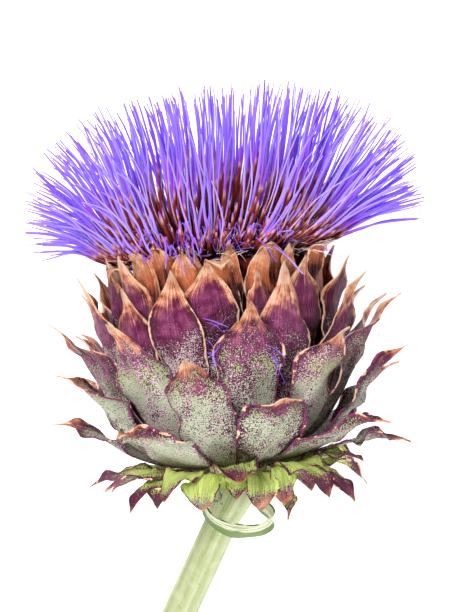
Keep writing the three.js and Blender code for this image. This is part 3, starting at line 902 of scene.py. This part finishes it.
def make_florets(tuft):
    """Makes the florets: red-brown tubes with a pale throat, and violet lobes that narrow to the tip.

    Most of those in front have shed all above the throat, so that the dark tubes behind them show.
    """
    rings = 15
    paths, azimuth, share = tuft_paths(tuft.count, rings, 41)
    i = np.arange(tuft.count)
    front = (cosine(azimuth) > SHED_FACING) & (share > SHED_SHARE)
    shed = front & (draw(i, 50) > -0.7)
    length = np.where(shed, mix(0.48, 0.38, share) + 0.1 * draw(i, 51), 1)
    paths = cut_short(paths, length)
    lowest = mix(0.46, 0.28, np.maximum(0, cosine(azimuth)))
    throat = mix(0.58, lowest, share**0.7) + 0.06 * draw(i, 48)
    throat = np.where(shed, 0.92 * length, throat)[:, None]
    s = length[:, None] * np.linspace(0, 1, rings)
    # The colours and the form go by the throat, wherever it is.
    along = np.where(s < throat, THROAT * s / throat, mix(THROAT, 1, (s - throat) / (1 - throat)))
    whole = np.interp(along, [0, 0.3, THROAT, 0.5, 0.85, 0.97, 1], [0.85, 1, 1.4, 1.15, 0.9, 0.75, 0.55])
    bare = np.interp(along, [0, 0.3, 0.39, 0.45], [0.8, 1, 1.35, 0.5])
    radii = tuft.radius / MM * np.where(shed[:, None], bare, whole) * (1 + 0.15 * draw(i, 47))[:, None]
    light = 0.7 * (front & ~shed)
    piece = thread_piece(paths, radii, around(1, azimuth + 90, 0), along=along, light=light)
    # The feet of the tubes are painted shade, deep in the tuft.
    stops = [
        (0.19, tuft.foot_shade),
        (0.3, tuft.maroon),
        (0.36, tuft.maroon),
        (THROAT, tuft.blush),
        (0.44, tuft.orchid),
        (0.7, tuft.violet),
    ]
    return finished(piece, "florets_open", floret_skin("Floret", stops, tuft), "floret", "florets")


def make_styles(tuft):
    """Makes the bare styles, thinner than the florets and a little longer."""
    rings = 13
    paths, azimuth, _ = tuft_paths(tuft.styles, rings, 61, shortest=0.95)
    radii = np.interp(np.linspace(0, 1, rings), [0, 0.85, 1], [0.24, 0.22, 0.17])
    piece = thread_piece(paths, radii, around(1, azimuth + 90, 0), corners=4)
    # The styles' feet are painted shade too.
    stops = [(0, tuft.foot_shade), (0.25, tuft.maroon), (THROAT, tuft.blush), (0.5, tuft.lilac)]
    return finished(piece, "styles", floret_skin("Style", stops, tuft), "floret", "florets")


def make_fallen(tuft):
    """Makes the loose violet threads: curls round the rim and a few that lie over the bracts."""
    s = np.linspace(0, 1, 17)
    i = np.arange(tuft.curls)[:, None]
    azimuth = 360 * i / tuft.curls + 20 * draw(i, 81) + (5 + 11 * draw(i, 82)) * s
    radius = CURLS_AT[0] + 3.5 * draw(i, 83) + 2 * wave(s * (0.6 + 0.5 * draw(i, 84)) + draw(i, 85))
    height = CURLS_AT[1] + 3.6 * draw(i, 86) + 2.4 * wave(s * (0.8 + 0.7 * draw(i, 87)) + draw(i, 88))
    paths = [around(radius, azimuth, height)]
    thick = np.interp(draw(i, 89), [-1, 0.6, 1], [0.06, 0.11, 0.34])
    radii = [thick * np.interp(s, [0, 0.9, 1], [1, 0.8, 0.3])]
    for start, end, stand, thick, turns in FALLEN:
        across = mix(start[0], end[0], s) + 0.9 * wave(turns * s) * turns
        up = mix(start[1], end[1], s) + 0.7 * np.sin(2 * np.pi * turns * s + 1.5) * turns
        paths.append(np.stack([across, -np.sqrt(stand**2 - across**2), up], axis=-1)[None])
        radii.append(thick * np.interp(s, [0, 0.85, 1], [1, 0.85, 0.35])[None])
    piece = thread_piece(np.concatenate(paths), np.concatenate(radii))
    stops = [(0, tuft.orchid), (0.3, tuft.violet), (0.8, tuft.violet), (1, tuft.lilac)]
    return finished(piece, "fallen_threads", floret_skin("Fallen thread", stops, tuft), "floret")


def make_bristles(tuft):
    """Makes the bristles, cream and a few violet, between the innermost bracts and the florets."""
    s = np.linspace(0, 1, 6)
    i = np.arange(tuft.bristles)[:, None]
    # Every seventh is longer and strays out on the right.
    stray = i % 7 == 0
    azimuth = np.where(stray, 69 + 17 * draw(i, 97), i * GOLDEN_ANGLE) + 9 * draw(i, 91) * s
    reach = np.where(stray, 12, 5) + 3 * draw(i, 92)
    rise = np.radians(35 + 50 * draw(i, 93))
    radius = BRISTLES_AT[0] + 2 * draw(i, 94) + reach * np.cos(rise) * s
    height = BRISTLES_AT[1] + 2 * draw(i, 95) + reach * np.sin(rise) * s
    height = height - 1.5 * s * s * (1 + draw(i, 96))
    piece = thread_piece(around(radius, azimuth, height), 0.09 * (1 - 0.6 * s), corners=3)
    recipe = Recipe("Bristle", 0.4)
    (tone,) = recipe.numbers("tone")
    tint = recipe.blend(tone.step(0.5, 0.9), tuft.bristle, tuft.orchid)
    return finished(piece, "bristles", recipe.paint(tint), "floret")


# ---------------- the stalk and its leaf


def make_stalk(stem):
    """Makes the stalk, ribbed along its length and cut square at its end."""
    piece = tube_form(*STALK_FACES, "TRIFAN")
    form = points_of(piece)
    # The rings stand closer together at the neck.
    distance = STALK_LENGTH * np.clip(1 - form[:, 2], 0, 1) ** 1.6
    level = math.cos(STALK_DROP)
    end = np.array([-math.sin(STALK_LEAN) * level, math.sin(STALK_DROP), -math.cos(STALK_LEAN) * level])
    place = (0, 0, STALK_TOP) + end * distance[:, None]
    along = unit(mix(np.array([0, 0, -1]), end, smooth(distance, 0, STALK_BEND)[:, None]))
    radius = mix(STALK_NECK_R, STALK_THIN_R, smooth(distance, 0, STALK_NECK))
    radius = radius + (STALK_CUT_R - STALK_THIN_R) * distance / STALK_LENGTH
    angle = np.arctan2(form[:, 1], form[:, 0])
    wander = 0.25 * np.sin(distance / 19) + 0.12 * np.sin(distance / 7.3)
    ribs = np.cos(STALK_RIBS * (angle + 0.05 * wander))
    fine = np.cos(4 * STALK_RIBS * angle + wander)
    spoke = np.hypot(form[:, 0], form[:, 1])
    height = stem.rib / MM * (0.5 * ribs + 0.12 * fine)
    size = spoke * (radius + height + 0.12 * np.sin(distance / 11 + angle))
    side = unit(np.cross(along, (0, 1, 0)))
    over = unit(np.cross(side, along))
    points = place + side * (size * np.cos(angle))[:, None] + over * (size * np.sin(angle))[:, None]
    reshape(piece, laid(points))
    rim = np.where(distance > STALK_LENGTH - 0.01, spoke, 1)
    mark(piece, rib=0.5 + 0.5 * ribs, length=distance / STALK_LENGTH, turn=angle, spoke=rim)
    recipe = Recipe("Stalk", 0.5)
    rib, run, turn, cut = recipe.numbers("rib", "length", "turn", "spoke")
    streak = recipe.noise(1, 5, recipe.vector(turn * 26, run * 5, 0))
    skin = recipe.coated(
        stem.moss,
        ((rib * 0.2 + streak).step(0.36, 0.72), stem.pale),
        (recipe.noise(260, 5).step(0.5, 0.66) * 0.18, stem.pith),
        (recipe.noise(1100).step(0.66, 0.72) * 0.4, stem.dusky),
    )
    skin = recipe.blend(cut.step(0.7, 0.86), stem.pith, skin)
    return finished(piece, "stalk_skin", recipe.paint(skin, streak), "stalk", "stalk")


# The small leaf's middle line from its root below the head, round a turn, to its coiled end.
STRAP = [
    (1.5, -5, -7),
    (4.8, -9, -11.6),
    (8.4, -12, -15.6),
    (5.6, -13.6, -18),
    (0.9, -14.4, -18.4),
    (-4, -14.4, -17.4),
    (-8.8, -13.2, -14.4),
    (-10.6, -11.6, -11),
    (-9, -10.4, -8.4),
    (-6.6, -10.6, -8.6),
    (-6.2, -11.4, -10.6),
]
# Where its width points, its thickness and its faces along and across.
STRAP_FACE = np.array([0.15, -0.75, 0.65])
STRAP_THICK = 0.55
STRAP_FACES = (90, 10)


def through(corners, shares):
    """Points on a smooth curve through corners, at shares of the way from the first to the last."""
    corners = np.array(corners, float)
    padded = np.concatenate([[2 * corners[0] - corners[1]], corners, [2 * corners[-1] - corners[-2]]])
    place = shares * (len(corners) - 1)
    first = np.minimum(place.astype(int), len(corners) - 2)
    before, start, end, after = (padded[first + k] for k in range(4))
    drawn = (start, start + (end - before) / 6, end - (after - start) / 6, end)
    return cubic(drawn, (place - first)[:, None])


def make_strap(stem):
    """Makes the narrow leaf below the head: a strap that turns back on itself and coils at its end."""
    piece = blade_form(*STRAP_FACES)
    form = points_of(piece)
    s, v = np.clip(form[:, 1], 0, 1), form[:, 0]
    place = through(STRAP, s)
    along = unit(through(STRAP, np.minimum(s + 0.004, 1)) - through(STRAP, np.maximum(s - 0.004, 0)))
    wide = unit(STRAP_FACE - along * (along @ STRAP_FACE)[:, None])
    face = np.cross(wide, along)
    width = stem.strap / MM * (1 - 0.45 * s**3) * mix(1, 0.25, smooth(s, 0.9, 1))
    gutter = -0.1 * width * v * v + 0.25 * np.sin(26 * s + 2 * v) * v * v
    depth = STRAP_THICK * (form[:, 2] - 0.5) - gutter
    reshape(piece, laid(place + wide * (v * width / 2)[:, None] + face * depth[:, None]))
    mark(piece, along=s, across=v)
    recipe = Recipe("Stalk leaf", 0.55)
    along, across = recipe.numbers("along", "across")
    lines = recipe.noise(1, 4, recipe.vector(across * 6, along * 2.2, 0))
    rim = recipe.blend(lines * 0.7, stem.dusky, stem.moss)
    middle = recipe.blend(abs(lines - 0.5).step(0.006, 0.05), stem.dusky, stem.pith)
    skin = recipe.blend((across + (lines - 0.5) * 0.3).step(-0.42, -0.3), rim, middle)
    return finished(piece, "strap_leaf", recipe.paint(skin, lines), "stalk_leaf", "stalk_leaf")


def make_receptacle(stem):
    """Makes the fleshy base that the bracts grow from."""
    side = [(7.2, -4), (7.5, -1.4), (11.4, -0.6), (11.4, 17.5), (16, 20.4), (16.4, 21.4)]
    piece = turned_form([(1, -4), *side, (1, 22)], ROUND_SIDES)
    recipe = Recipe("Flesh")
    tint = recipe.blend(recipe.noise(200), stem.pale, stem.moss)
    return finished(piece, "flesh", recipe.paint(tint), "flesh", "receptacle")


# ---------------- operators


class CARDOON_OT_bracts(bpy.types.Operator):
    """Make every row of bracts, from the small ones bent down at the foot to the papery ones at the rim"""

    bl_idname = "cardoon.bracts"
    bl_label = "Bracts"

    def execute(self, context):
        s = context.scene.cardoon_bracts
        leafy = [(0.85, s.leaf), (0.95, s.sage)]
        sage = [(0, s.fern), (0.12, s.sage), (0.6, s.sage), (0.78, s.fern)]
        grey = [(0.5, s.sage), (0.66, s.fern), (0.8, s.silver)]
        mist = [(0.6, s.silver), (0.8, s.wine)]
        # The inner ground and the dark ramps of the upper, crown and inner rows start with painted shade at
        # the root, where the bracts overlap.
        husk = [(0.72, s.painted_shade), (0.8, s.rust), (0.88, s.amber), (0.96, s.straw)]
        plum = [(0.7, s.plum), (0.9, s.wine)]
        wine = [(0, s.painted_shade), (0.5, s.plum), (0.72, s.wine)]
        shade = [(0.58, s.painted_shade), (0.76, s.wine)]
        brown = [(0, s.painted_shade), (0.6, s.bark), (0.8, s.rust)]
        dusk, dead, papery = (s.plum, s.silver), (s.bark, s.rust), (s.amber, s.straw)
        looks = {
            "reflexed": Look(leafy, plum, 0.32, 1.15, 0.89, 0.98, 0, s.wine, None, 0.4, 0.25, 0, 0.45),
            "outer": Look(sage, plum, 0.51, 1, 0.83, 0.88, 0.02, s.berry, None, 0.4),
            "middle": Look(grey, plum, 0.51, 1, 0.72, 0.85, 0.03, s.berry, dusk, 0.7, 0, 0.85),
            "upper": Look(mist, wine, 0.55, 1, 0.68, 0.84, 0.05, s.straw, dead, 0.85),
            "crown": Look(mist, shade, 0.58, 1, 0.5, 0.88, 0.11, s.straw, dead, 0.6),
            "inner": Look(husk, brown, 0.5, 0.45, 0.3, 0.88, 0.05, s.straw, papery, 0, 0.6, 0),
        }
        for name, look in looks.items():
            bract_row(name, bract_skin(f"{name} bracts", look, s), s)
        return {"FINISHED"}


class CARDOON_OT_bed(bpy.types.Operator):
    """Make the dark bed that the florets stand in"""

    bl_idname = "cardoon.bed"
    bl_label = "Floret bed"

    def execute(self, context):
        make_bed(context.scene.cardoon_florets)
        return {"FINISHED"}


class CARDOON_OT_florets(bpy.types.Operator):
    """Make the florets and the bare styles that stand among them"""

    bl_idname = "cardoon.florets"
    bl_label = "Florets"

    def execute(self, context):
        make_florets(context.scene.cardoon_florets)
        make_styles(context.scene.cardoon_florets)
        return {"FINISHED"}


class CARDOON_OT_threads(bpy.types.Operator):
    """Make the loose threads and the fine bristles round the rim"""

    bl_idname = "cardoon.threads"
    bl_label = "Threads and bristles"

    def execute(self, context):
        make_fallen(context.scene.cardoon_florets)
        make_bristles(context.scene.cardoon_florets)
        return {"FINISHED"}


class CARDOON_OT_stalk(bpy.types.Operator):
    """Make the ribbed stalk, cut square at its end"""

    bl_idname = "cardoon.stalk"
    bl_label = "Stalk"

    def execute(self, context):
        make_stalk(context.scene.cardoon_stalk)
        return {"FINISHED"}


class CARDOON_OT_leaf(bpy.types.Operator):
    """Make the small leaf that curls below the head"""

    bl_idname = "cardoon.leaf"
    bl_label = "Stalk leaf"

    def execute(self, context):
        make_strap(context.scene.cardoon_stalk)
        return {"FINISHED"}


class CARDOON_OT_flesh(bpy.types.Operator):
    """Make the fleshy base that the bracts grow from"""

    bl_idname = "cardoon.flesh"
    bl_label = "Flesh"

    def execute(self, context):
        make_receptacle(context.scene.cardoon_stalk)
        return {"FINISHED"}


class CARDOON_OT_stage(bpy.types.Operator):
    """Lay the floor, hang the soft lights and set the camera above the head"""

    bl_idname = "cardoon.stage"
    bl_label = "Stage"

    def execute(self, context):
        settings = context.scene.cardoon_stage
        start_alone()
        bpy.ops.mesh.primitive_plane_add(size=FLOOR_SIZE)
        floor = context.object
        floor.name = "floor"
        recipe = Recipe("Floor", 0.9)
        recipe.shader.inputs["Emission Color"].default_value = (1, 1, 1, 1)
        recipe.shader.inputs["Emission Strength"].default_value = settings.glow
        floor.data.materials.append(recipe.paint(settings.floor))
        middle_x = MM * (HEAD_BASE[0] + PIXEL * (VIEW_SIZE[0] / 2 - BASE_IN_VIEW[0]))
        middle_y = MM * (HEAD_BASE[1] + PIXEL * (BASE_IN_VIEW[1] - VIEW_SIZE[1] / 2))
        for power, (x, y, z) in ((settings.key, KEY_PLACE), (settings.side, SIDE_PLACE)):
            bpy.ops.object.light_add(type="AREA", location=(middle_x + x, middle_y + y, z))
            light = context.object
            light.data.energy = power
            light.data.size = LIGHT_SIZE
            away = mathutils.Vector((x, y, z - MM * AXIS_HEIGHT))
            light.rotation_euler = away.to_track_quat("Z", "Y").to_euler()
        world = bpy.data.worlds.new("Studio")
        world.use_nodes = True
        background = world.node_tree.nodes["Background"]
        background.inputs["Color"].default_value = (1, 1, 1, 1)
        background.inputs["Strength"].default_value = settings.fill
        context.scene.world = world
        height = MM * AXIS_HEIGHT + settings.distance
        bpy.ops.object.camera_add(location=(middle_x, middle_y, height), rotation=(0, 0, 0))
        camera = context.object
        camera.data.sensor_fit = "VERTICAL"
        camera.data.sensor_height = SENSOR
        camera.data.lens = SENSOR * settings.distance / (MM * PIXEL * VIEW_SIZE[1])
        camera.data.clip_start = 0.01
        context.scene.camera = camera
        context.scene.view_settings.view_transform = "Standard"
        return {"FINISHED"}


class CARDOON_PT_panel(bpy.types.Panel):
    """Buttons and settings for the flower head"""

    bl_idname = "CARDOON_PT_panel"
    bl_label = "Cardoon"
    bl_space_type = "VIEW_3D"
    bl_region_type = "UI"
    bl_category = "Cardoon"

    def draw(self, context):
        """Lists the operators above their settings."""
        for name, (group, *operators) in GROUPS.items():
            box = self.layout.box()
            for operator in operators:
                box.operator(operator.bl_idname)
            for setting in group.__annotations__:
                box.prop(getattr(context.scene, name), setting)


# The settings that hang on the scene, each with its group and the operators that read it.
GROUPS = {
    "cardoon_stalk": (StalkSettings, CARDOON_OT_flesh, CARDOON_OT_stalk, CARDOON_OT_leaf),
    "cardoon_bracts": (BractSettings, CARDOON_OT_bracts),
    "cardoon_florets": (FloretSettings, CARDOON_OT_bed, CARDOON_OT_florets, CARDOON_OT_threads),
    "cardoon_stage": (StageSettings, CARDOON_OT_stage),
}
CLASSES = [*(cls for classes in GROUPS.values() for cls in classes), CARDOON_PT_panel]


def register():
    """Registers the classes and hangs their settings on the scene."""
    for cls in CLASSES:
        bpy.utils.register_class(cls)
    for name, (group, *_) in GROUPS.items():
        setattr(bpy.types.Scene, name, PointerProperty(type=group))


def unregister():
    """Takes the settings off the scene and unregisters the classes."""
    for name in GROUPS:
        delattr(bpy.types.Scene, name)
    for cls in reversed(CLASSES):
        bpy.utils.unregister_class(cls)


def main():
    """Makes every piece in order."""
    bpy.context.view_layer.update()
    register()
    bpy.ops.cardoon.flesh()
    bpy.ops.cardoon.stalk()
    bpy.ops.cardoon.leaf()
    bpy.ops.cardoon.bracts()
    bpy.ops.cardoon.bed()
    bpy.ops.cardoon.florets()
    bpy.ops.cardoon.threads()
    bpy.ops.cardoon.stage()


if __name__ == "__main__":
    main()
